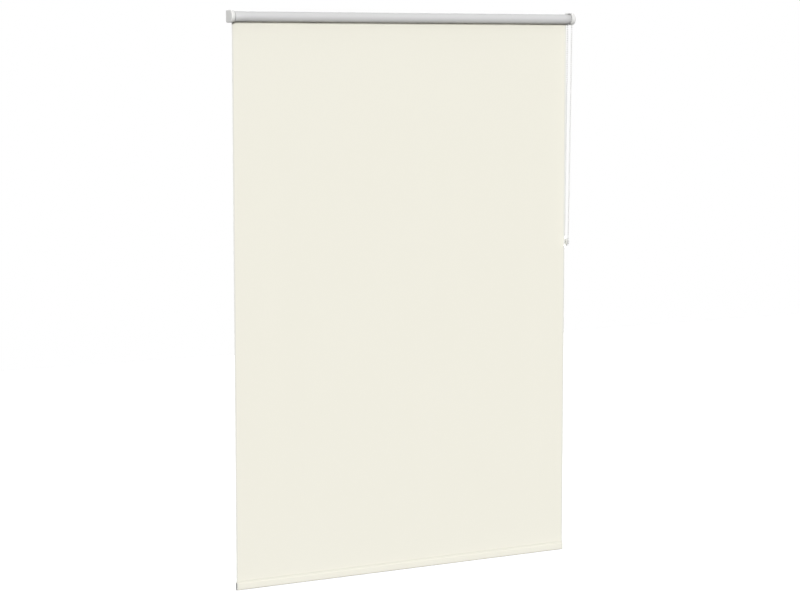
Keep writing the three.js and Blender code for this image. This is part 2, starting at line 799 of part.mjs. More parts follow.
function makeTensioner() {
  const cheekInner = pulleyPlane + grooveHalfWidth + pulleyRimThickness + pulleyToCheek;
  const cheekOuter = cheekInner + cheekThickness;
  const toWall = -pulleyY;
  const cheekProfile = wallProfile(cheekRadius, toWall, cheekCornerRadius);
  const cheek = across(cheekProfile, cheekInner, cheekOuter, { curveSegments: arcSteps });
  const halfHeight = tensionerPlateHeight / 2;
  const plateY = [toWall - tensionerPlateThickness, toWall];
  const plate = block([cheekOuter - tensionerPlateWidth, cheekOuter], plateY, [-halfHeight, halfHeight]);
  const holeX = [cheekInner - cutOverrun, cheekOuter + cutOverrun];
  const axleHole = rod(...holeX, axleRadius + runningGap, smallSides);
  const screwX = (cheekOuter - tensionerPlateWidth + tubeEnd) / 2;
  const holes = Object.values(screwShares).map((share) => {
    const hole = screwHole(screwX, tensionerScrewSpacing * share, tensionerPlateThickness);
    return hole.translate(0, toWall, 0);
  });
  place(onTensionerAxle, 'tensioner_bracket', cut(join(plate, cheek), axleHole, ...holes), clearPlastic);
  placeScrews('tensioner_screw', screwX, -tensionerDrop, tensionerScrewSpacing, tensionerPlateThickness);

  const rimInner = pulleyPlane - grooveHalfWidth - pulleyRimThickness;
  const rimOuter = pulleyPlane + grooveHalfWidth + pulleyRimThickness;
  const groove = Array.from({ length: arcSteps - 1 }, (_, i) => {
    return grooveFloor(pulleyPlane, pulleyPitchRadius, Math.acos(1 - (2 * (i + 1)) / arcSteps));
  }).filter(([, radius]) => radius < pulleyRimRadius);
  const bore = axleRadius + runningGap;
  const pulley = turned(
    [
      [rimInner, pulleyRecessRadius],
      [rimInner, pulleyRimRadius],
      ...groove,
      [rimOuter, pulleyRimRadius],
      [rimOuter, bore],
      [rimInner + pulleyRecessDepth, bore],
      [rimInner + pulleyRecessDepth, pulleyRecessRadius],
      [rimInner, pulleyRecessRadius],
    ],
    hubSides,
  );
  place(onTensionerAxle, 'tensioner_pulley', pulley, whitePlastic);

  const headEnd = rimInner + pulleyRecessDepth - runningGap;
  const axle = turned(
    [
      [headEnd - axleHeadThickness, 0],
      [headEnd - axleHeadThickness, axleHeadRadius],
      [headEnd, axleHeadRadius],
      [headEnd, axleRadius],
      [cheekOuter + axleTailReach, axleRadius],
      [cheekOuter + axleTailReach, 0],
    ],
    smallSides,
  );
  place(onTensionerAxle, 'tensioner_axle', axle, zincSteel);
}

// Fabric panel, hem pocket and bottom bar

function makeFabricPanel() {
  const halfThickness = fabricThickness / 2;
  const panel = block([tubeStart, tubeEnd], [-halfThickness, halfThickness], [hemTopZ + seatGap, 0]);
  place(onFabricPlane, 'fabric_panel', panel, creamFabric);
}

// The pocket runs the whole width; the bar and its caps lie inside it, the caps set back from its ends
function makeBottomBar() {
  const capStart = tubeStart + barCapRecess;
  const capEnd = tubeEnd - barCapRecess;
  const fabricLoop = 2 * (fabricThickness + seatGap);
  const pocketOuter = flatOval(barWidth + fabricLoop, barThickness + fabricLoop);
  const pocketInner = flatOval(barWidth + 2 * seatGap, barThickness + 2 * seatGap);
  const roundSides = { curveSegments: ovalSteps };
  const raise = (geometry) => geometry.translate(0, 0, barMiddleZ);
  const loop = raise(across(pocketOuter, tubeStart, tubeEnd, roundSides));
  const hollow = raise(across(pocketInner, tubeStart - cutOverrun, tubeEnd + cutOverrun, roundSides));
  const halfJoin = hemJoinThickness / 2;
  const joinFoot = Math.min(barMiddleZ + barWidth / 2, hemTopZ - hemJoinHeight);
  const seam = block([tubeStart, tubeEnd], [-halfJoin, halfJoin], [joinFoot, hemTopZ]);
  place(onFabricPlane, 'hem_pocket', cut(join(loop, seam), hollow), creamFabric);

  const barX = [capStart + barCapThickness + seatGap, capEnd - barCapThickness - seatGap];
  const boreWidth = barWidth - 2 * barWall;
  const boreThickness = barThickness - 2 * barWall;
  const profile = flatOval(barWidth, barThickness);
  const boreProfile = flatOval(boreWidth, boreThickness);
  const bar = raise(across(profile, ...barX, roundSides));
  const barBore = across(boreProfile, barX[0] - cutOverrun, barX[1] + cutOverrun, roundSides);
  place(onFabricPlane, 'bottom_bar', cut(bar, raise(barBore)), aluminium);

  const spigot = flatOval(boreWidth - 2 * seatGap, boreThickness - 2 * seatGap);
  const idleHead = across(profile, capStart, capStart + barCapThickness, roundSides);
  const idleSpigot = across(spigot, capStart, capStart + barCapSpigotLength, roundSides);
  place(onFabricPlane, 'bar_cap_idle', raise(join(idleHead, idleSpigot)), darkPlastic);
  const driveHead = across(profile, capEnd - barCapThickness, capEnd, roundSides);
  const driveSpigot = across(spigot, capEnd - barCapSpigotLength, capEnd, roundSides);
  place(onFabricPlane, 'bar_cap_drive', raise(join(driveHead, driveSpigot)), darkPlastic);
}

makeIdleEnd();
makeIdlePlug();
makeDriveEnd();
makeChainWheel();
makeClutch();
makeRollerTube();
makeFabricPanel();
makeBottomBar();
makeTensioner();
makeChain();

export default blind;
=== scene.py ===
import bisect
import math
import random
import bpy
import bmesh
from mathutils import Matrix, Vector


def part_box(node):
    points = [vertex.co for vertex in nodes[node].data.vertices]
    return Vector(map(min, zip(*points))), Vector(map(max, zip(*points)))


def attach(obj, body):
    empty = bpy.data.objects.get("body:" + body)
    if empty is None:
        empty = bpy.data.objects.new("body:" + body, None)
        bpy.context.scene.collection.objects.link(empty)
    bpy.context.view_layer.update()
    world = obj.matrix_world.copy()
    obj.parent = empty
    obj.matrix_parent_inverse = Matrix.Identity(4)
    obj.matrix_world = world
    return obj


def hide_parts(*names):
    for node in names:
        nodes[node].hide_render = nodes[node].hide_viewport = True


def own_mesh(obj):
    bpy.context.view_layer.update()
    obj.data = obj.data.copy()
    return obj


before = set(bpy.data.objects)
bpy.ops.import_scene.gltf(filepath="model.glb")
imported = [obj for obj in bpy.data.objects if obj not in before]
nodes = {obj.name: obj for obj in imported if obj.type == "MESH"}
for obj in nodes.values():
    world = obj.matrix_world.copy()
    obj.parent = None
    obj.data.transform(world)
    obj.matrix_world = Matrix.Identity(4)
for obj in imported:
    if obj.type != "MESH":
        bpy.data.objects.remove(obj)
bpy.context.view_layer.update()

scene = bpy.context.scene
mm = 0.001
fullTurn = 2 * math.pi
waveTurn = 6.28  # the turn that the waves of the cloth are counted in


def boxMiddle(node):
    low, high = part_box(node)
    return [(a + b) / 2 for a, b in zip(low, high)]


# lines that several pieces share, in metres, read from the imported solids
wrapLow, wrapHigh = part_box("fabric_wrap")
clothStart, clothEnd = wrapLow[0], wrapHigh[0]
axisY = boxMiddle("fabric_wrap")[1]
rollRadius = (wrapHigh[2] - wrapLow[2]) / 2
panelY = boxMiddle("fabric_panel")[1]
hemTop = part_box("hem_pocket")[1][2]


def rgb(red, green, blue):
    # a screen colour, 0 to 255, as the linear value that a node holds
    linear = []
    for part in (red, green, blue):
        c = part / 255
        linear.append(c / 12.92 if c <= 0.04045 else ((c + 0.055) / 1.055) ** 2.4)
    return (*linear, 1.0)


def addObject(name, data):
    made = bpy.data.objects.new(name, data)
    scene.collection.objects.link(made)
    return made


# camera, at the photograph's viewing angle

cameraSetup = {
    "place": (-2.3368, -5.1800, -0.0942),
    "yaw": 28.6097, "pitch": -6.4148,
    "lens": 98.7,
}


def placeCamera():
    data = bpy.data.cameras.new("blindCamera")
    data.lens = cameraSetup["lens"]
    camera = addObject("blindCamera", data)
    camera.location = cameraSetup["place"]
    tilt = math.radians(90 + cameraSetup["pitch"])
    camera.rotation_euler = (tilt, 0, -math.radians(cameraSetup["yaw"]))
    scene.camera = camera


placeCamera()
print("camera placed")


# helpers that make meshes

def shadeSmooth(mesh, sharp):
    for face in mesh.polygons:
        face.use_smooth = True
    mesh.set_sharp_from_angle(angle=math.radians(sharp))


def addMesh(name, points, faces, sharp=35.0):
    # points that no face uses are left out, and the faces are turned outwards
    used = sorted({i for face in faces for i in face})
    order = {old: new for new, old in enumerate(used)}
    mesh = bpy.data.meshes.new(name)
    mesh.from_pydata([tuple(points[i]) for i in used], [], [[order[i] for i in face] for face in faces])
    mesh.validate()
    work = bmesh.new()
    work.from_mesh(mesh)
    bmesh.ops.recalc_face_normals(work, faces=work.faces)
    work.to_mesh(mesh)
    work.free()
    shadeSmooth(mesh, sharp)
    return addObject(name, mesh)


def ringFaces(rings, sides, closedAlong=False):
    # quads from each ring of points to the next; closedAlong also joins the last ring to the first
    faces = []
    for i in range(rings if closedAlong else rings - 1):
        one = i * sides
        two = (i + 1) % rings * sides
        for k in range(sides):
            n = (k + 1) % sides
            faces.append((one + k, one + n, two + n, two + k))
    return faces


def poleFaces(first, sides, pole):
    # triangles from the ring of points that begins at first to a single point
    return [(first + k, first + (k + 1) % sides, pole) for k in range(sides)]


def joinSkins(faces, skinSize):
    # a second skin on the same layout, and walls between the open borders of the two
    edges = [edge for face in faces for edge in zip(face, face[1:] + face[:1])]
    used = set(edges)
    walls = [(two, one, one + skinSize, two + skinSize) for one, two in edges if (two, one) not in used]
    return faces + [tuple(skinSize + i for i in face) for face in faces] + walls


def roundEdges(piece, width, segments, angle):
    bevel = piece.modifiers.new("edges", "BEVEL")
    bevel.width = width
    bevel.segments = segments
    bevel.limit_method = "ANGLE"
    bevel.angle_limit = math.radians(angle)
    bevel.harden_normals = True


def cutAway(piece, cutters, sharp):
    # what the cutters leave becomes the piece's own mesh
    for cutter in cutters:
        knife = piece.modifiers.new("cut", "BOOLEAN")
        knife.operation = "DIFFERENCE"
        knife.solver = "EXACT"
        knife.object = cutter
    bpy.context.view_layer.update()
    graph = bpy.context.evaluated_depsgraph_get()
    carved = bpy.data.meshes.new_from_object(piece.evaluated_get(graph))
    piece.modifiers.clear()
    piece.data = carved
    for cutter in cutters:
        bpy.data.objects.remove(cutter)
    shadeSmooth(carved, sharp)


def wirePiece(name, path, radii, sides):
    # a round wire along a path, its ends closed
    path = [Vector(place) for place in path]
    last = len(path) - 1
    normal = (path[1] - path[0]).orthogonal().normalized()
    points = []
    for i, (centre, radius) in enumerate(zip(path, radii)):
        along = (path[min(i + 1, last)] - path[max(i - 1, 0)]).normalized()
        normal = (normal - along * normal.dot(along)).normalized()
        side = along.cross(normal)
        for k in range(sides):
            angle = fullTurn * k / sides
            points.append(centre + normal * (radius * math.cos(angle)) + side * (radius * math.sin(angle)))
    pole = len(points)
    points += [path[0], path[-1]]
    faces = ringFaces(len(path), sides)
    faces += poleFaces(0, sides, pole) + poleFaces(pole - sides, sides, pole + 1)
    return addMesh(name, points, faces, sharp=50)


def aroundAxis(x, radius, angle):
    # a point about the roller's axis; angle 0 faces the wall and a quarter turn is at the top
    return (x, axisY + radius * math.cos(angle), radius * math.sin(angle))


def finishPiece(piece, body, slot, looks, node):
    # gives a piece its materials and body, in place of its CAD node, which it hides
    for look in looks:
        piece.data.materials.append(look)
    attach(piece, body)
    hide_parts(node)


# bead chain

chain = {
    "beadDiameter": 4.5 * mm, "beadPitch": 6 * mm, "stringRadius": 0.55 * mm, "sides": 16,
    "beadAngles": (-76, -60, -42, -21, 0, 21, 42, 60, 76),
    # the route: 66 mm round the wheel, down to the pulley and back, as on the solid
    "wheel": {"x": 1011.7 * mm, "y": -24 * mm, "z": 0, "radius": 66 * mm / fullTurn},
    "pulley": {"x": 1013 * mm, "y": -13.8 * mm, "z": -620 * mm, "radius": 9 * mm},
    "endGap": 0.4 * mm,
    "arcStep": math.radians(6), "leastArcSteps": 4, "runSteps": 100,
}


def chainRoute():
    # angles start at the room side and grow over the top
    wheel, pulley = chain["wheel"], chain["pulley"]
    apart = math.hypot(pulley["y"] - wheel["y"], pulley["z"] - wheel["z"])
    downwards = math.atan2(pulley["z"] - wheel["z"], wheel["y"] - pulley["y"])
    spread = math.acos((wheel["radius"] - pulley["radius"]) / apart)
    front, back = downwards + spread, downwards - spread
    halfGap = chain["endGap"] / 2 / wheel["radius"]

    def arc(circle, start, stop):
        steps = max(chain["leastArcSteps"], round(abs(stop - start) / chain["arcStep"]))
        points = []
        for i in range(steps + 1):
            angle = start + (stop - start) * i / steps
            y = circle["y"] - circle["radius"] * math.cos(angle)
            z = circle["z"] + circle["radius"] * math.sin(angle)
            points.append(Vector((circle["x"], y, z)))
        return points

    def run(start, stop):
        steps = chain["runSteps"]
        return [start.lerp(stop, i / steps) for i in range(1, steps)]

    over = arc(wheel, math.pi / 2 - halfGap, front)
    under = arc(pulley, front, back)
    home = arc(wheel, back, math.pi / 2 + halfGap - fullTurn)
    return over + run(over[-1], under[0]) + under + run(under[-1], home[0]) + home


def alongRoute(route):
    # a function that gives the point at a distance from the route's start, and the route's length
    distances = [0.0]
    for one, two in zip(route, route[1:]):
        distances.append(distances[-1] + (two - one).length)

    def at(distance):
        low = min(bisect.bisect_right(distances, distance) - 1, len(route) - 2)
        share = (distance - distances[low]) / (distances[low + 1] - distances[low])
        return route[low].lerp(route[low + 1], share)

    return at, distances[-1]


def makeChain():
    # beads and string are one turned skin along the route
    route = chainRoute()
    at, length = alongRoute(route)
    count = round(length / chain["beadPitch"])
    pitch = length / count
    beadRadius = chain["beadDiameter"] / 2
    points, radii = [at(0)], [chain["stringRadius"]]
    for i in range(count):
        for degrees in chain["beadAngles"]:
            turn = math.radians(degrees)
            points.append(at((i + 0.5) * pitch + beadRadius * math.sin(turn)))
            radii.append(max(beadRadius * math.cos(turn), chain["stringRadius"]))
    points.append(at(length))
    radii.append(chain["stringRadius"])
    piece = wirePiece("beadChain", points, radii, chain["sides"])
    finishPiece(piece, "root", "white_plastic", [], "control_chain")
    tuple(route[0])
    [tuple(p) for p in route]
    print("bead chain:", count, "beads,", round(length, 4), "m")
    return piece


beadChain = makeChain()


# materials

nodeGrid = {"across": 200, "down": 160, "perRow": 8}  # where the nodes stand in the editor


class Wire:
    # a node's output that plain arithmetic turns into Math nodes
    def __init__(self, paint, socket):
        self.paint = paint
        self.socket = socket

    def maths(self, operation, *values):
        return self.paint.node("ShaderNodeMath", {"operation": operation}, dict(enumerate(values)))

    def __add__(self, other):
        return self.maths("ADD", self, other)

    def __radd__(self, other):
        return self.maths("ADD", other, self)

    def __sub__(self, other):
        return self.maths("SUBTRACT", self, other)

    def __rsub__(self, other):
        return self.maths("SUBTRACT", other, self)

    def __mul__(self, other):
        return self.maths("MULTIPLY", self, other)

    def __rmul__(self, other):
        return self.maths("MULTIPLY", other, self)

    def __abs__(self):
        return self.maths("ABSOLUTE", self)

    def sine(self):
        return self.maths("SINE", self)

    def largest(self, other):
        return self.maths("MAXIMUM", self, other)

    def angleOver(self, other):
        return self.maths("ARCTAN2", self, other)

    def between(self, low, high):
        # 0 below low, 1 above high, smooth between them
        values = {"Value": self, "From Min": low, "From Max": high}
        return self.paint.node("ShaderNodeMapRange", {"interpolation_type": "SMOOTHSTEP"}, values)


class Paint:
    # the nodes of one material, or of the world
    def __init__(self, owner):
        owner.use_nodes = True
        self.owner = owner
        self.tree = owner.node_tree
        self.tree.nodes.clear()
        self.count = 0

    def node(self, kind, settings=None, values=None, output=0):
        made = self.tree.nodes.new(kind)
        row, column = divmod(self.count, nodeGrid["perRow"])
        made.location = (nodeGrid["across"] * column, -nodeGrid["down"] * row)
        self.count += 1
        for key, value in (settings or {}).items():
            setattr(made, key, value)
        for key, value in (values or {}).items():
            if isinstance(value, Wire):
                self.tree.links.new(value.socket, made.inputs[key])
            else:
                made.inputs[key].default_value = value
        return Wire(self, made.outputs[output]) if made.outputs else made

    def outputs(self, wire, names):
        # more outputs of the node that a wire comes from
        sockets = wire.socket.node.outputs
        return [Wire(self, sockets[name]) for name in names]

    def parts(self, vector):
        return self.outputs(self.node("ShaderNodeSeparateXYZ", values={"Vector": vector}), "XYZ")

    def noise(self, vector, scale=1.0, detail=2.0, roughness=0.5, stretch=None):
        if stretch:
            vector = self.node("ShaderNodeVectorMath", {"operation": "MULTIPLY"}, {0: vector, 1: stretch})
        values = {"Vector": vector, "Scale": scale, "Detail": detail, "Roughness": roughness}
        return self.node("ShaderNodeTexNoise", values=values)

    def noises(self, vector, look, *names):
        return [self.noise(vector, **look[name]) for name in names]

    def mix(self, factor, one, two):
        # a Mix node's colour sockets are inputs 6 and 7 and output 2
        return self.node("ShaderNodeMix", {"data_type": "RGBA"}, {0: factor, 6: one, 7: two}, output=2)

    def roundedNormal(self, radius):
        return self.node("ShaderNodeBevel", {"samples": 6}, {"Radius": radius})

    def bump(self, height, distance, strength, normal=None):
        values = {"Height": height, "Distance": distance, "Strength": strength}
        if normal:
            values["Normal"] = normal
        return self.node("ShaderNodeBump", values=values)

    def surface(self, look, colour, roughness, normal):
        values = {"Base Color": colour, "Roughness": roughness, "Normal": normal, **look["shader"]}
        shader = self.node("ShaderNodeBsdfPrincipled", values=values)
        self.node("ShaderNodeOutputMaterial", values={"Surface": shader})
        return self.owner


def newPaint(name):
    # a new material's nodes, and the place on the piece that its patterns follow
    p = Paint(bpy.data.materials.new(name))
    return p, p.node("ShaderNodeTexCoord", output="Object")


# in a look, tone, height and rough say how much of each pattern goes into the colour, the relief and
# the roughness; relief is the depth and strength of the bumps, and shader is the same all over

fabricLook = {
    "light": rgb(241, 239, 227), "dark": rgb(236, 233, 219),
    "thread": 0.36 * mm,
    "yarnHeight": 0.62, "crossing": 0.38,
    "driftReach": 0.6,
    "drift": {"scale": 60, "detail": 1},
    "slub": {"stretch": (22, 1, 1400), "detail": 3, "roughness": 0.6},
    "yarn": {"stretch": (1500, 1, 18), "detail": 3, "roughness": 0.6},
    "cloud": {"scale": 3.2},
    "tone": {"base": 0.1, "slub": 0.3, "yarn": 0.25, "weave": 0.3, "cloud": 0.2},
    "height": {"slub": 0.7, "yarn": 0.5},
    "rough": {"base": 0.78, "weave": 0.12},
    "relief": (0.06 * mm, 0.55),
    "shader": {"Specular IOR Level": 0.25, "Sheen Weight": 0.06, "Sheen Roughness": 0.5},
    # a greyer band along both sides of the cloth, from the side inwards
    "edge": {"colour": rgb(226, 226, 219), "depth": 0.85, "from": 5 * mm, "to": 2.5 * mm},
    # the welded seam's ribs, and a painted shade band under the seam, from the hem's top downwards
    "weld": {"from": 4.2 * mm, "to": 3.36 * mm, "pitch": 1.5 * mm, "flatten": 0.7, "height": 2.2},
    "seam": {"colour": rgb(214, 212, 199), "depth": 0.5, "from": 7.0 * mm, "to": 3.85 * mm},
}


def wovenCream(name, weldRibsAndShade=False):
    # plain weave of fine yarns, with slubs and slightly uneven yarns
    look, tone, relief, rough = fabricLook, fabricLook["tone"], fabricLook["height"], fabricLook["rough"]
    p, place = newPaint(name)
    x, _, z = p.parts(place)
    turn = math.pi / look["thread"]
    drift = p.noise(place, **look["drift"]) * look["driftReach"]
    across = (x * turn + drift).sine()
    down = (z * turn + drift).sine()
    over = across * down
    warp = abs(across) * (look["yarnHeight"] + look["crossing"] * over)
    weft = abs(down) * (look["yarnHeight"] - look["crossing"] * over)
    weave = warp.largest(weft)
    slub, yarn, cloud = p.noises(place, look, "slub", "yarn", "cloud")
    shade = tone["base"] + tone["slub"] * slub + tone["yarn"] * yarn + tone["weave"] * weave
    colour = p.mix(shade + tone["cloud"] * cloud, look["dark"], look["light"])
    middle = (clothStart + clothEnd) / 2
    half = (clothEnd - clothStart) / 2
    edge = look["edge"]
    cut = abs(x - middle).between(half - edge["from"], half - edge["to"])
    colour = p.mix(cut * edge["depth"], colour, edge["colour"])
    height = weave + relief["slub"] * slub + relief["yarn"] * yarn
    if weldRibsAndShade:
        weld, seam = look["weld"], look["seam"]
        wave = fullTurn / weld["pitch"]
        ribs = (x * wave).sine() * (z * wave).sine()
        band = z.between(hemTop - weld["from"], hemTop - weld["to"])
        height = height * (1 - weld["flatten"] * band) + weld["height"] * band * ribs
        # painted shade: a darker band under the seam stands in for the shade in the crease at the pocket's
        # top
        shadow = z.between(hemTop - seam["from"], hemTop - seam["to"])
        colour = p.mix(shadow * seam["depth"], colour, seam["colour"])
    roughness = rough["base"] + rough["weave"] * weave
    return p.surface(look, colour, roughness, p.bump(height, *look["relief"]))


coatingLook = {
    "light": rgb(214, 214, 214), "dark": rgb(203, 203, 203),
    "thread": 0.36 * mm,
    "spread": {"stretch": (40, 40, 220), "detail": 3, "roughness": 0.55},
    "cloud": {"scale": 14, "detail": 3, "roughness": 0.6},
    "pores": {"scale": 2600, "detail": 1},
    "tone": {"base": 0.15, "spread": 0.4, "cloud": 0.45},
    "height": {"weave": 0.25, "spread": 0.6, "pores": 0.5},
    "rough": {"base": 0.5, "cloud": 0.16},
    "relief": (0.04 * mm, 0.5),
    "shader": {"Specular IOR Level": 0.4},
}


def blackoutCoating(name, wound=False):
    # satin foam coating; the yarns under it only just show
    look, tone, relief, rough = coatingLook, coatingLook["tone"], coatingLook["height"], coatingLook["rough"]
    p, place = newPaint(name)
    x, y, z = p.parts(place)
    if wound:
        # on the roll, z becomes the way round it
        z = z.angleOver(y - axisY) * rollRadius
        place = p.node("ShaderNodeCombineXYZ", values={"X": x, "Y": y, "Z": z})
    turn = math.pi / look["thread"]
    weave = (x * turn).sine() * (z * turn).sine()
    spread, cloud, pores = p.noises(place, look, "spread", "cloud", "pores")
    shade = tone["base"] + tone["spread"] * spread + tone["cloud"] * cloud
    height = relief["weave"] * weave + relief["spread"] * spread + relief["pores"] * pores
    colour = p.mix(shade, look["dark"], look["light"])
    roughness = rough["base"] + rough["cloud"] * cloud
    return p.surface(look, colour, roughness, p.bump(height, *look["relief"]))


plasticLook = {
    "cloud": {"scale": 90, "detail": 3, "roughness": 0.55},
    "flow": {"stretch": (300, 60, 60)},
    "grit": {"scale": 3200, "roughness": 0.7},
    "rub": {"stretch": (900, 70, 70), "detail": 4, "roughness": 0.7},
    "rubFrom": 0.62, "rubTo": 0.7,
    "tone": {"base": 0.2, "cloud": 0.4, "flow": 0.3, "rub": 0.12},
    "height": {"cloud": 0.6},
    "rough": {"cloud": 0.08, "rub": 0.1, "grit": 0.06},
    "reliefDepth": 0.02 * mm,
    "shader": {"Specular IOR Level": 0.45},
}
whiteTones = {"light": rgb(233, 233, 231), "dark": rgb(225, 225, 222)}
beadTones = {"light": rgb(224, 224, 223), "dark": rgb(214, 214, 212)}
innerTones = {"light": rgb(176, 177, 174), "dark": rgb(160, 161, 158)}
plugTones = {"light": rgb(186, 186, 184), "dark": rgb(174, 174, 172)}
capTones = {"light": rgb(92, 93, 94), "dark": rgb(79, 80, 82)}


def mouldedPlastic(name, tones, rough, grain, edgeRadius=None):
    # spark-textured mould finish with faint flow clouds and a few rub marks
    look, tone, byLayer = plasticLook, plasticLook["tone"], plasticLook["rough"]
    p, place = newPaint(name)
    cloud, flow, grit, rubbed = p.noises(place, look, "cloud", "flow", "grit", "rub")
    rub = rubbed.between(look["rubFrom"], look["rubTo"])
    shade = tone["base"] + tone["cloud"] * cloud + tone["flow"] * flow
    colour = p.mix(shade, tones["dark"], tones["light"])
    colour = p.mix(rub * tone["rub"], colour, tones["dark"])
    roughness = rough + byLayer["cloud"] * cloud + byLayer["rub"] * rub + byLayer["grit"] * grit
    height = grit + look["height"]["cloud"] * cloud
    normal = p.roundedNormal(edgeRadius) if edgeRadius else None
    return p.surface(look, colour, roughness, p.bump(height, look["reliefDepth"], grain, normal))


clearLook = {
    "light": rgb(248, 250, 250), "dark": rgb(236, 240, 240),
    "haze": {"scale": 260, "detail": 3, "roughness": 0.6},
    "grit": {"scale": 1800},
    "height": {"grit": 0.3},
    "rough": {"base": 0.06, "haze": 0.14},
    "relief": (0.03 * mm, 0.35),
    "edgeRadius": 0.35 * mm,
    "shader": {"Transmission Weight": 0.9, "IOR": 1.49},
}


def clearPlastic(name):
    look, rough = clearLook, clearLook["rough"]
    p, place = newPaint(name)
    haze, grit = p.noises(place, look, "haze", "grit")
    height = haze + look["height"]["grit"] * grit
    colour = p.mix(haze, look["dark"], look["light"])
    roughness = rough["base"] + rough["haze"] * haze
    normal = p.roundedNormal(look["edgeRadius"])
    return p.surface(look, colour, roughness, p.bump(height, *look["relief"], normal))


aluminiumLook = {
    "light": rgb(214, 216, 219), "dark": rgb(176, 179, 182),
    "lines": {"stretch": (3, 5200, 5200), "detail": 3, "roughness": 0.65},
    "cloud": {"stretch": (40, 200, 200), "detail": 3},
    "tone": {"lines": 0.5, "cloud": 0.4},
    "rough": {"base": 0.24, "lines": 0.2, "cloud": 0.12},
    "relief": (0.02 * mm, 0.5),
    "shader": {"Metallic": 0.94},
}


def extrudedAluminium(name):
    # die lines along the extrusion and a few oxide clouds
    look, tone, rough = aluminiumLook, aluminiumLook["tone"], aluminiumLook["rough"]
    p, place = newPaint(name)
    lines, cloud = p.noises(place, look, "lines", "cloud")
    colour = p.mix(tone["lines"] * lines + tone["cloud"] * cloud, look["dark"], look["light"])
    roughness = rough["base"] + rough["lines"] * lines + rough["cloud"] * cloud
    return p.surface(look, colour, roughness, p.bump(lines, *look["relief"]))


zincLook = {
    "blue": rgb(168, 174, 184),
    "yellow": rgb(206, 203, 190),
    "dull": rgb(126, 130, 136),
    "crystalScale": 2400,
    "cast": {"scale": 320, "detail": 3, "roughness": 0.6},
    "draw": {"scale": 1500, "detail": 3, "roughness": 0.7},
    "tone": {"draw": 0.3},
    "height": {"crystals": 0.5},
    "rough": {"base": 0.24, "draw": 0.22, "crystals": 0.1},
    "relief": (0.015 * mm, 0.6),
    "edgeRadius": 0.1 * mm,
    "shader": {"Metallic": 0.95},
}


def zincPlate(name):
    # bright zinc with small crystals, a blue and yellow cast and duller drawn marks
    look, rough = zincLook, zincLook["rough"]
    p, place = newPaint(name)
    crystals = p.node("ShaderNodeTexVoronoi", values={"Vector": place, "Scale": look["crystalScale"]})
    cast, draw = p.noises(place, look, "cast", "draw")
    colour = p.mix(cast, look["blue"], look["yellow"])
    colour = p.mix(look["tone"]["draw"] * draw, colour, look["dull"])
    roughness = rough["base"] + rough["draw"] * draw + rough["crystals"] * crystals
    height = draw + look["height"]["crystals"] * crystals
    normal = p.roundedNormal(look["edgeRadius"])
    return p.surface(look, colour, roughness, p.bump(height, *look["relief"], normal))


creamCloth = wovenCream("creamWeave")
hemCloth = wovenCream("creamWeaveWeldedShaded", weldRibsAndShade=True)
coatedBack = blackoutCoating("blackoutCoating")
coatedRoll = blackoutCoating("blackoutCoatingWound", wound=True)
whiteShell = mouldedPlastic("whiteShellPlastic", whiteTones, rough=0.36, grain=0.5)
whiteInner = mouldedPlastic("whiteInnerPlastic", whiteTones, rough=0.4, grain=0.5)
whiteBead = mouldedPlastic("whiteBeadPlastic", beadTones, rough=0.28, grain=0.25)
greyInner = mouldedPlastic("greyAcetal", innerTones, rough=0.42, grain=0.5, edgeRadius=0.3 * mm)
paleGreyInner = mouldedPlastic("paleGreyNylon", plugTones, rough=0.42, grain=0.5)
greyCap = mouldedPlastic("greyCapPlastic", capTones, rough=0.45, grain=0.6)
clearShell = clearPlastic("clearPolycarbonate")
aluminium = extrudedAluminium("extrudedAluminium")
zinc = zincPlate("zincPlatedSteel")
springSteel = zincPlate("springSteel")
beadChain.data.materials.append(whiteBead)
print("materials made")


# hanging fabric

cloth = {
    "width": 1.016, "thickness": 0.45 * mm, "columns": 128,
    "coatedFrom": 0.3,  # a face shows the coating where its normal points this much to the wall
}
tail = {
    "flatLength": 0.0134, "rows": 16, "angle": 58.0, "sink": 0.02 * mm,
    "lift": 0.3 * mm, "liftFrom": 25.0, "thinEnd": 0.04, "thickening": 1.6,
}
panel = {
    "flatLength": 1.475, "rows": 170, "rowPower": 1.25,
    "bottom": -1474.98 * mm, "lift": 1443.6 * mm, "anchorX": 0.5,
}
panelWaves = {
    "seed": 11, "number": 5,
    "count": (2, 9), "slant": (0.03, 0.2), "start": (0, waveTurn), "size": (0.4, 1),
    "fullSum": 3, "height": 0.25 * mm,
    "calmTop": 0.4, "calmBottom": 0.3,
}


def clothSheet(name, stations, sway):
    # stations run downwards, each the front and back skin's (y, z); sway moves a point along Y
    columns = cloth["columns"]
    rowSize = columns + 1
    points, faces = [], []
    for skin in (0, 1):
        for station in stations:
            y, z = station[skin]
            for k in range(rowSize):
                across = k / columns
                points.append((clothStart + (clothEnd - clothStart) * across, y + sway(across, z), z))
    for r in range(len(stations) - 1):
        for a in range(r * rowSize, r * rowSize + columns):
            faces.append((a, a + rowSize, a + rowSize + 1, a + 1))
    piece = addMesh(name, points, joinSkins(faces, len(stations) * rowSize), sharp=60)
    finishPiece(piece, "root", "cream_fabric", [creamCloth, coatedBack], "fabric_panel")
    for face in piece.data.polygons:
        if face.normal.y > cloth["coatedFrom"]:
            face.material_index = 1
    return piece


def tailStations():
    # round the back of the roll from a thin upper end, lifting off it at the foot
    stations = []
    for i in range(tail["rows"]):
        share = i / tail["rows"]
        angle = math.radians(tail["angle"] * (1 - share))
        lift = tail["lift"] * max(0, 1 - angle / math.radians(tail["liftFrom"])) ** 2
        inner = rollRadius - tail["sink"] + lift
        outer = inner + cloth["thickness"] * min(1, max(tail["thinEnd"], tail["thickening"] * share))
        stations.append([aroundAxis(0, radius, angle)[1:] for radius in (inner, outer)])
    return stations


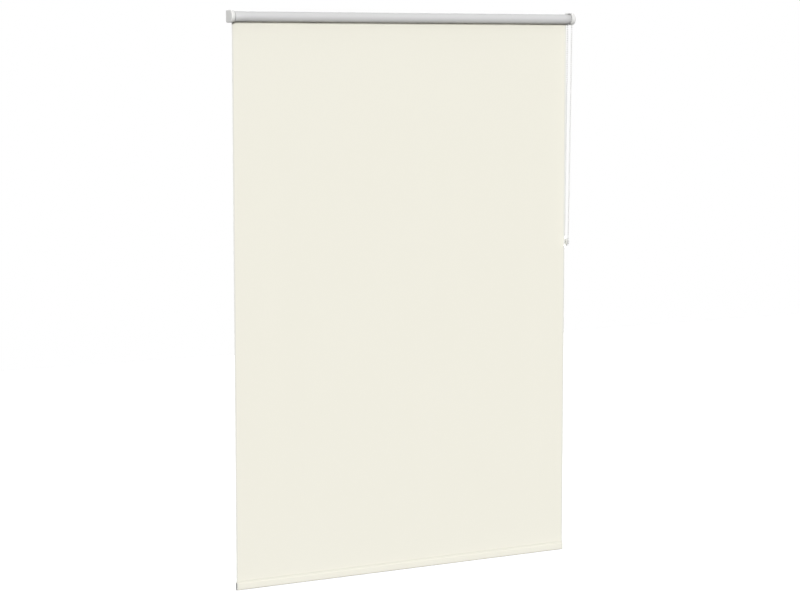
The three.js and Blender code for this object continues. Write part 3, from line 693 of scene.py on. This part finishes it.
def panelSway():
    # low upright waves that die away towards the roll and the hem
    rng = random.Random(panelWaves["seed"])
    spans = [panelWaves[part] for part in ("count", "slant", "start", "size")]
    waves = [[rng.uniform(*span) for span in spans] for _ in range(panelWaves["number"])]

    def sway(across, z):
        fromTop = min(1, max(0, -z / panelWaves["calmTop"]))
        fromBottom = min(1, max(0, (z - panel["bottom"]) / panelWaves["calmBottom"]))
        total = 0
        for count, slant, start, size in waves:
            total += size * math.sin(waveTurn * (count * across + slant * z) + start)
        return panelWaves["height"] * fromTop * fromBottom * total / panelWaves["fullSum"]

    return sway


def makeFabric():
    # the tail stays on the roll, and the panel hangs under it
    skins = (panelY - cloth["thickness"] / 2, panelY + cloth["thickness"] / 2)
    stations = tailStations() + [[(y, 0) for y in skins]]
    top = clothSheet("fabricTail", stations, lambda across, z: 0)

    heights = [panel["bottom"] * (i / panel["rows"]) ** panel["rowPower"] for i in range(panel["rows"] + 1)]
    hanging = clothSheet("blindFabric", [[(y, z) for y in skins] for z in heights], panelSway())
    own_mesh(hanging)


makeFabric()
print("fabric hung")


# fabric wound on the tube

roll = {
    "flatLength": 0.0805, "sides": 144, "lengthSteps": 48,
    "rim": 0.12 * mm, "dip": 0.12 * mm, "slotHalf": 2.3 * mm,
    "trim": 0.25 * mm, "trimSteps": 8, "seed": 5,
}


def makeRoll():
    # one layer that dips over the tube's channel, its ends cut slightly unevenly
    rng = random.Random(roll["seed"])
    sides, steps, rim = roll["sides"], roll["lengthSteps"], roll["rim"]
    cuts = [[rng.uniform(0, roll["trim"]) for _ in range(roll["trimSteps"])] for _ in range(2)]
    inner = rollRadius - cloth["thickness"]

    def trim(cut, k):
        place = k / sides * len(cut)
        low = int(place)
        return cut[low] + (cut[(low + 1) % len(cut)] - cut[low]) * (place - low)

    # share of the length, inset along it, and radius
    stations = [(0, 0, rollRadius - rim), (0, rim, rollRadius)]
    stations += [(i / steps, 0, rollRadius) for i in range(1, steps)]
    stations += [(1, -rim, rollRadius), (1, 0, rollRadius - rim), (1, 0, inner), (0, 0, inner)]
    points = []
    for share, inset, radius in stations:
        for k in range(sides):
            angle = fullTurn * k / sides
            start = clothStart + trim(cuts[0], k)
            stop = clothEnd - trim(cuts[1], k)
            fromSlot = rollRadius * math.atan2(math.cos(angle), math.sin(angle))
            dip = roll["dip"] * math.exp(-(fromSlot / roll["slotHalf"]) ** 2) if radius > inner else 0
            points.append(aroundAxis(start + (stop - start) * share + inset, radius - dip, angle))
    faces = ringFaces(len(stations), sides, closedAlong=True)
    piece = addMesh("rolledFabric", points, faces, sharp=50)
    finishPiece(piece, "roller", "coated_fabric", [coatedRoll], "fabric_wrap")


makeRoll()
print("roll wound")


# hem

hem = {
    "flatLength": 0.056, "loopRadius": 4.35 * mm,
    "upperCentre": -7.85 * mm, "lowerCentre": -20.65 * mm, "seamFoot": -1.0 * mm,
    "columns": 200, "arcSteps": 4, "straightSteps": 4,
    "outerShares": (0.0, 0.35, 0.7, 1.0),
    "innerShares": (0.08, 0.2, 0.45, 0.72, 1.0),
    "bottomAngles": (14, 28, 42, 56, 70, 82, 90),
    "pucker": 0.06 * mm, "puckerMiddle": -9 * mm, "puckerReach": 5 * mm,
    "puckerWaves": (40, 97, 171), "seed": 23,
}


def hemHalfSections():
    # half widths and heights under the hem's top: the cloth leaves the seam and lies round the bar
    thick = cloth["thickness"]
    radius, top, low, foot = hem["loopRadius"], hem["upperCentre"], hem["lowerCentre"], hem["seamFoot"]
    lean = math.asin(radius / math.hypot(thick, foot - top)) - math.atan2(thick, foot - top)

    def side(reach, start, shares):
        # from a start on the seam along the tangent, round the bar's top, down its side and under it
        touch = (reach * math.cos(lean), top + reach * math.sin(lean))
        line = [(start[0] + (touch[0] - start[0]) * s, start[1] + (touch[1] - start[1]) * s) for s in shares]
        for i in range(1, hem["arcSteps"] + 1):
            turn = lean * (1 - i / hem["arcSteps"])
            line.append((reach * math.cos(turn), top + reach * math.sin(turn)))
        for i in range(1, hem["straightSteps"] + 1):
            line.append((reach, top + (low - top) * i / hem["straightSteps"]))
        for degrees in hem["bottomAngles"]:
            turn = math.radians(degrees)
            line.append((reach * math.cos(turn) if degrees < 90 else 0.0, low - reach * math.sin(turn)))
        return line

    outer = [(0.0, 0.0), (thick, 0.0)] + side(radius, (thick, foot), hem["outerShares"])
    small = radius - thick
    apex = top + small / math.sin(lean)
    inner = [(0.0, apex)] + side(small, (0.0, apex), hem["innerShares"])
    return outer, inner


def makeHem():
    # two closed skins round the bar, joined at the hem's ends, with a slight pucker under the seam
    rng = random.Random(hem["seed"])
    phases = [rng.uniform(0, waveTurn) for _ in hem["puckerWaves"]]
    rings = []
    for half in hemHalfSections():
        rings.append([(-w, z) for w, z in half] + [(w, z) for w, z in half[-2:0:-1]])
    columns, sides = hem["columns"], len(rings[0])
    points = []
    for ring in rings:
        for c in range(columns + 1):
            u = c / columns
            slack = sum(math.sin(wave * u + phase) for wave, phase in zip(hem["puckerWaves"], phases))
            for w, z in ring:
                near = math.exp(-((z - hem["puckerMiddle"]) / hem["puckerReach"]) ** 2)
                pull = abs(hem["pucker"] * near * slack / len(phases)) * ((w > 0) - (w < 0))
                points.append((clothStart + (clothEnd - clothStart) * u, panelY + w - pull, hemTop + z))
    outerFaces = ringFaces(columns + 1, sides)
    piece = addMesh("hemFabric", points, joinSkins(outerFaces, (columns + 1) * sides), sharp=55)
    finishPiece(piece, "bottom_bar", "cream_fabric", [hemCloth, coatedBack], "hem_pocket")
    # folded to the back, the cloth keeps its cream face outwards and its coating towards the bar
    for face in piece.data.polygons[len(outerFaces):2 * len(outerFaces)]:
        face.material_index = 1


makeHem()
print("hem made")


# caps of the bottom bar

barCap = {
    "head": 1.2 * mm, "wall": 1.2 * mm,
    "chamferLength": 0.8 * mm, "chamferInset": 0.5 * mm, "arcSteps": 20,
    # depth and inset of the rounded rim, from the outer face on
    "rim": [(0, 3 * mm), (0.06 * mm, 1.4 * mm), (0.12 * mm, 0.5 * mm), (0.24 * mm, 0.2 * mm), (0.45 * mm, 0)],
}


def ovalRing(height, thickness):
    radius = thickness / 2
    steps = barCap["arcSteps"]
    ring = []
    for centre, start in ((height / 2 - radius, 0), (radius - height / 2, math.pi)):
        for i in range(steps + 1):
            angle = start + math.pi * i / steps
            ring.append((radius * math.cos(angle), centre + radius * math.sin(angle)))
    return ring


def makeBarCap(name, inwards, node):
    # an oval head, rounded at its rim, with a spigot that plugs the bar
    low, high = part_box(node)
    length, thickness, height = [b - a for a, b in zip(low, high)]
    faceX = low[0] if inwards > 0 else high[0]
    middleY, middleZ = boxMiddle(node)[1:]
    head, wall = barCap["head"], barCap["wall"]
    layers = barCap["rim"] + [(head, 0), (head, wall), (length - barCap["chamferLength"], wall)]
    layers.append((length, wall + barCap["chamferInset"]))
    points = []
    for depth, inset in layers:
        ring = ovalRing(height - 2 * inset, thickness - 2 * inset)
        points += [(faceX + inwards * depth, middleY + y, middleZ + z) for y, z in ring]
    sides = len(ring)
    faces = ringFaces(len(layers), sides)
    faces += [tuple(range(sides)), tuple(range(len(points) - sides, len(points)))]
    piece = addMesh(name, points, faces, sharp=50)
    finishPiece(piece, "bottom_bar", "dark_plastic", [greyCap], node)


makeBarCap("barCapLeft", 1, "bar_cap_idle")
makeBarCap("barCapRight", -1, "bar_cap_drive")
print("bar caps made")


# end covers

cover = {
    "wall": 1.3 * mm, "edge": 3.0 * mm, "innerEdge": 0.6 * mm, "openingRound": 0.22 * mm,
    "corner": 4.0 * mm, "leastCorner": 0.05 * mm, "cornerShare": 0.6,
    "frontSteps": 59, "sideSteps": 14, "cornerSteps": 10, "backSteps": 18, "edgeSteps": 10,
    "faceShares": (0.94, 0.8, 0.55, 0.28), "faceMiddle": 4.0 * mm,
    # room for the bracket's flange at the wall, and for the chain below
    "flangeFrom": 18.4 * mm, "flangeHalf": 14.8 * mm,
    "chainBelow": -8.0 * mm, "chainHalf": 13.35 * mm,
}
# outwards is the way from the open rim along X; cuts and depths are measured from the rim
coverEnds = {
    "idle_cover": {
        "name": "idleEndCover", "outwards": -1, "flangeDepth": 2.7 * mm, "chainDepth": 0,
        "cuts": [0.6 * mm, 1.6 * mm, 2.7 * mm, 4.2 * mm, 5.6 * mm],
    },
    "drive_cover": {
        "name": "driveEndCover", "outwards": 1, "flangeDepth": 9.1 * mm, "chainDepth": 4.85 * mm,
        "cuts": [0.6 * mm, 2.3 * mm, 3.7 * mm, 4.85 * mm, 6.9 * mm, 9.1 * mm],
    },
}


def wallOutline(radius, back, corner):
    # (y, z) about the roller's axis: half round at the front, square to the wall at the back
    corner = max(corner, cover["leastCorner"])
    flat, side = back - corner, radius - corner

    def cornerArc(start, centreZ):
        steps = cover["cornerSteps"]
        angles = [start + math.pi / 2 * i / steps for i in range(steps + 1)]
        return [(flat + corner * math.cos(a), centreZ + corner * math.sin(a)) for a in angles]

    ring = []
    for i in range(cover["frontSteps"] + 1):
        angle = math.pi / 2 + math.pi * i / cover["frontSteps"]
        ring.append((radius * math.cos(angle), radius * math.sin(angle)))
    along = [flat * i / cover["sideSteps"] for i in range(1, cover["sideSteps"])]
    ring += [(y, -radius) for y in along]
    ring += cornerArc(-math.pi / 2, -side)
    ring += [(back, -side + 2 * side * i / cover["backSteps"]) for i in range(1, cover["backSteps"])]
    ring += cornerArc(0, side)
    ring += [(y, radius) for y in reversed(along)]
    return ring


def coverSkin(end, low, high, inset, edge):
    # points of one skin, from the rim to the middle of the closed end
    radius, back = (high[2] - low[2]) / 2, high[1] - axisY
    closed = high[0] - low[0] - inset
    rows = [(depth, inset) for depth in [0, *end["cuts"], closed - edge]]
    for i in range(1, cover["edgeSteps"] + 1):
        turn = math.pi / 2 * i / cover["edgeSteps"]
        rows.append((closed - edge * (1 - math.sin(turn)), inset + edge * (1 - math.cos(turn))))
    points = []
    for depth, gap in rows:
        outline = wallOutline(radius - gap, back - gap, cover["corner"] - cover["cornerShare"] * gap)
        points += [(depth, y, z) for y, z in outline]
    middle = cover["faceMiddle"]
    for share in cover["faceShares"]:
        points += [(closed, middle + (y - middle) * share, z * share) for y, z in outline]
    points.append((closed, middle, 0))
    return points, len(outline)


def makeCover(node, end):
    # two skins on one layout; the openings are left out of both, and their borders are closed
    low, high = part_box(node)
    outer, sides = coverSkin(end, low, high, 0, cover["edge"])
    inner, _ = coverSkin(end, low, high, cover["wall"], cover["innerEdge"])
    skinSize = len(outer)

    def isOpen(depth, y, z):
        flange = depth < end["flangeDepth"] and y > cover["flangeFrom"] and abs(z) < cover["flangeHalf"]
        chainWay = depth < end["chainDepth"] and z < cover["chainBelow"] and abs(y) < cover["chainHalf"]
        return flange or chainWay

    faces = []
    for quad in ringFaces(skinSize // sides, sides):
        if not isOpen(*[sum(outer[i][axis] for i in quad) / len(quad) for axis in range(3)]):
            faces.append(quad)
    faces += poleFaces(skinSize - 1 - sides, sides, skinSize - 1)
    rimX = high[0] if end["outwards"] < 0 else low[0]
    placed = [(rimX + end["outwards"] * depth, axisY + y, z) for depth, y, z in outer + inner]
    piece = addMesh(end["name"], placed, joinSkins(faces, skinSize), sharp=40)
    roundEdges(piece, cover["openingRound"], segments=2, angle=50)
    finishPiece(piece, "root", "white_plastic", [whiteShell], node)


for node, end in coverEnds.items():
    makeCover(node, end)
print("covers made")


# screws

screw = {
    "length": 22 * mm, "sides": 28, "rowsPerPitch": 8,
    "head": 3.5 * mm, "headHeight": 1.8 * mm, "headRim": 0.15 * mm, "headRimDepth": 0.12 * mm,
    "neck": 0.6 * mm, "neckExtra": 0.2 * mm,
    "core": 1.2 * mm, "thread": 1.7 * mm, "pitch": 1.5 * mm, "runIn": 1.5 * mm, "crestHalf": 0.28,
    "tip": 4 * mm, "tipRadius": 0.03 * mm,
    # the driver's cross: half sizes of its bars, then depth and the shares of them in X and Z
    "crossReach": 1.9 * mm, "crossHalf": 0.45 * mm,
    "crossLayers": ((-0.4 * mm, 1.08, 1.08), (1.15 * mm, 0.55, 0.8)),
    "parts": ("idle", "drive", "tensioner"), "levels": ("upper", "lower"),
}


def threadedScrew():
    # along +Y from the middle of its head, with a turned thread
    size, sides = screw, screw["sides"]
    start = size["headHeight"] + size["neck"]
    profile = [(0, size["head"] - size["headRim"]), (size["headRimDepth"], size["head"])]
    profile += [(size["headHeight"], size["thread"]), (start, size["core"] + size["neckExtra"])]
    rows = [[(y, radius)] * sides for y, radius in profile]
    steps = round((size["length"] - start) / size["pitch"] * size["rowsPerPitch"])
    for i in range(1, steps + 1):
        y = start + (size["length"] - start) * i / steps
        taper = min(1, (size["length"] - y) / size["tip"])
        full = min(1, (y - start) / size["runIn"]) * (size["thread"] - size["core"])
        row = []
        for k in range(sides):
            phase = (y / size["pitch"] - k / sides) % 1
            crest = max(0, 1 - abs(phase - 0.5) / size["crestHalf"])
            row.append((y, max(size["tipRadius"], (size["core"] + full * crest) * taper)))
        rows.append(row)
    points = [(0, 0, 0)]
    for row in rows:
        for k, (y, radius) in enumerate(row):
            angle = fullTurn * k / sides
            points.append((radius * math.cos(angle), y, radius * math.sin(angle)))
    tip = len(points)
    points.append((0, size["length"], 0))
    faces = [tuple(i + 1 for i in face) for face in ringFaces(len(rows), sides)]
    faces += poleFaces(1, sides, 0) + poleFaces(tip - sides, sides, tip)
    return addMesh("screwMaster", points, faces, sharp=40)


def crossBars():
    # two tapered bars, one across the other
    bars = []
    reach, half = screw["crossReach"], screw["crossHalf"]
    for halfX, halfZ in ((reach, half), (half, reach)):
        points = []
        for depth, shareX, shareZ in screw["crossLayers"]:
            for sideX, sideZ in ((-1, -1), (1, -1), (1, 1), (-1, 1)):
                points.append((sideX * halfX * shareX, depth, sideZ * halfZ * shareZ))
        bars.append(addMesh("crossBar", points, [(0, 1, 2, 3), (7, 6, 5, 4)] + ringFaces(2, 4)))
    return bars


def makeScrews():
    master = threadedScrew()
    cutAway(master, crossBars(), sharp=30)
    for node in [f"{part}_screw_{level}" for part in screw["parts"] for level in screw["levels"]]:
        low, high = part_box(node)
        middle = boxMiddle(node)
        mesh = master.data.copy()
        mesh.transform(Matrix.Translation((middle[0], low[1], middle[2])))
        piece = addObject(node.replace("_", "") + "Threaded", mesh)
        finishPiece(piece, "root", "zinc_steel", [zinc], node)
    bpy.data.objects.remove(master)


makeScrews()
print("screws made")


# springs

springCoils = {"stepsPerTurn": 32, "sides": 14}
pinSpring = {
    "turns": 7, "radius": 4.1 * mm, "wire": 0.45 * mm, "length": 17 * mm, "travel": 5.5 * mm,
}
clutchSprings = {
    "turns": 5, "pitch": 1.6 * mm, "radius": 6.1 * mm, "wire": 0.5 * mm,
    "tangRadius": 8.1 * mm, "tangAngle": 0.6, "flare": 0.26,
}


def springPiece(name, size, coil):
    # coil gives x, radius and angle at a share of the wire's length
    count = size["turns"] * springCoils["stepsPerTurn"]
    path = [aroundAxis(*coil(i / count)) for i in range(count + 1)]
    return wirePiece(name, path, [size["wire"]] * len(path), springCoils["sides"])


def makePinSpring():
    low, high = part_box("idle_pin_spring")
    start, stop = low[0] + pinSpring["wire"], high[0] - pinSpring["wire"]

    def coil(share):
        return start + (stop - start) * share, pinSpring["radius"], fullTurn * pinSpring["turns"] * share

    piece = springPiece("pinCoilSpring", pinSpring, coil)
    finishPiece(piece, "roller", "zinc_steel", [springSteel], "idle_pin_spring")
    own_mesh(piece)


def makeClutchSprings():
    # both ends flare out into a tang
    size = clutchSprings
    sweep = fullTurn * size["turns"] - 2 * size["tangAngle"]
    for end in ("outer", "inner"):
        node = "wrap_spring_" + end
        middle = boxMiddle(node)[0]

        def coil(share):
            fromEnd = min(share, 1 - share) * sweep
            flare = max(0, 1 - fromEnd / size["flare"])
            radius = size["radius"] + (size["tangRadius"] - size["radius"]) * flare
            x = middle + size["pitch"] * size["turns"] * (share - 0.5)
            return x, radius, size["tangAngle"] - math.pi / 2 + sweep * share

        piece = springPiece("clutchSpring" + end, size, coil)
        finishPiece(piece, "drive_wheel", "zinc_steel", [springSteel], node)


makePinSpring()
makeClutchSprings()
print("springs wound")


# moulded parts, rounded along their edges

mouldedEdges = {"joinWithin": 0.002 * mm, "flatWithin": 0.6, "segments": 3, "roundAbove": 34, "sharp": 32}
mouldedParts = {
    # node: piece, body, slot, edge radius and finish
    "idle_bracket": ("idleWallBracket", "root", "white_plastic", 0.4 * mm, whiteInner),
    "drive_bracket": ("driveWallBracket", "root", "white_plastic", 0.4 * mm, whiteInner),
    "idle_plug": ("idleTubePlug", "roller", "grey_plastic", 0.25 * mm, paleGreyInner),
    "chain_wheel": ("beadWheel", "drive_wheel", "white_plastic", 0.2 * mm, whiteInner),
    "tensioner_bracket": ("chainGuideBody", "root", "clear_plastic", 0.35 * mm, clearShell),
    "tensioner_pulley": ("chainGuidePulley", "tensioner_pulley", "white_plastic", 0.3 * mm, whiteInner),
    "tensioner_axle": ("chainGuideAxle", "root", "zinc_steel", 0.2 * mm, zinc),
}


def makeMoulded(node, name, body, slot, edge, look):
    # the solid's flat facets join up, its round walls turn smooth and its edges get a radius
    size = mouldedEdges
    mesh = nodes[node].data.copy()
    mesh.transform(nodes[node].matrix_world)
    mesh.materials.clear()
    work = bmesh.new()
    work.from_mesh(mesh)
    bmesh.ops.remove_doubles(work, verts=work.verts, dist=size["joinWithin"])
    flat = math.radians(size["flatWithin"])
    bmesh.ops.dissolve_limit(work, angle_limit=flat, verts=work.verts, edges=work.edges)
    work.to_mesh(mesh)
    work.free()
    shadeSmooth(mesh, size["sharp"])
    piece = addObject(name, mesh)
    roundEdges(piece, edge, size["segments"], size["roundAbove"])
    finishPiece(piece, body, slot, [look], node)


for node, spec in mouldedParts.items():
    makeMoulded(node, *spec)
print("moulded parts rounded")


# the other CAD parts keep their shape and get a finish

finishes = {
    "idle_pin": greyInner,
    "idle_spring_seat": greyInner,
    "clutch_drum": greyInner,
    "clutch_post": greyInner,
    "post_clip": zinc,
    "roller_tube": aluminium,
    "bottom_bar": aluminium,
    "fabric_edge_strip": clearShell,
}
for name, look in finishes.items():
    for place in nodes[name].material_slots:
        place.link = "OBJECT"
        place.material = look
print("finishes given")


# floor, world and lamps

studio = {
    "floorHeight": -4.2, "floorSize": 44.0,
    "floorBounce": rgb(36, 36, 36), "floorGlow": 0.55,
    "floorLight": rgb(250, 250, 249), "floorDark": rgb(246, 246, 245),
    "floorClouds": {"scale": 2.5, "detail": 3},
    "white": (1, 1, 1, 1),
    "skyAbove": 0.44, "skyBelow": 0.05, "skyFrom": -0.5, "skyTo": 0.6,
    # azimuth, where 0 shines along +Y
    "lamps": {
        "key": {"azimuth": -24.0, "elevation": 12.0, "spread": 12.0, "strength": 2.79},
        "back": {"azimuth": 150.0, "elevation": 8.0, "spread": 40.0, "strength": 2.6},
        "side": {"azimuth": -90.0, "elevation": 6.0, "spread": 40.0, "strength": 0.32},
    },
}


def seenDirectly(p):
    # 1 for rays from the camera, and for those that metal or clear parts show it
    names = ("Is Camera Ray", "Is Glossy Ray", "Is Transmission Ray")
    straight, mirrored, through = p.outputs(p.node("ShaderNodeLightPath"), names)
    return straight.largest(mirrored).largest(through)


def makeFloor():
    half = studio["floorSize"] / 2
    corners = [(x * half, y * half, studio["floorHeight"]) for x, y in ((-1, -1), (1, -1), (1, 1), (-1, 1))]
    floor = addMesh("studioFloor", corners, [(0, 1, 2, 3)])
    p, place = newPaint("paleFloor")
    tone = p.mix(p.noise(place, **studio["floorClouds"]), studio["floorDark"], studio["floorLight"])
    pale = p.node("ShaderNodeBsdfDiffuse", values={"Color": tone})
    dull = p.node("ShaderNodeBsdfDiffuse", values={"Color": studio["floorBounce"]})
    glow = p.node("ShaderNodeEmission", values={"Color": studio["white"], "Strength": studio["floorGlow"]})
    both = p.node("ShaderNodeAddShader", values={0: pale, 1: glow})
    shader = p.node("ShaderNodeMixShader", values={0: seenDirectly(p), 1: dull, 2: both})
    p.node("ShaderNodeOutputMaterial", values={"Surface": shader})
    floor.data.materials.append(p.owner)


def makeWorld():
    # white where it is seen directly, and soft light from above for the blind
    scene.world = bpy.data.worlds.new("studioWorld")
    p = Paint(scene.world)
    height = p.parts(p.node("ShaderNodeTexCoord", output="Generated"))[2]
    upwards = height.between(studio["skyFrom"], studio["skyTo"])
    strength = studio["skyBelow"] + upwards * (studio["skyAbove"] - studio["skyBelow"])
    soft = p.node("ShaderNodeBackground", values={"Color": studio["white"], "Strength": strength})
    white = p.node("ShaderNodeBackground", values={"Color": studio["white"], "Strength": 1.0})
    shader = p.node("ShaderNodeMixShader", values={0: seenDirectly(p), 1: soft, 2: white})
    p.node("ShaderNodeOutputWorld", values={"Surface": shader})


def makeLamps():
    for name, setup in studio["lamps"].items():
        data = bpy.data.lights.new(name + "Lamp", "SUN")
        data.angle = math.radians(setup["spread"])
        data.energy = setup["strength"]
        lamp = addObject(name + "Lamp", data)
        turn, rise = math.radians(setup["azimuth"]), math.radians(setup["elevation"])
        shine = Vector((-math.sin(turn) * math.cos(rise), math.cos(turn) * math.cos(rise), -math.sin(rise)))
        lamp.rotation_euler = shine.to_track_quat("-Z", "Y").to_euler()


makeFloor()
makeWorld()
makeLamps()
scene.view_settings.view_transform = "Standard"
print("studio lit")

bpy.context.view_layer.update()
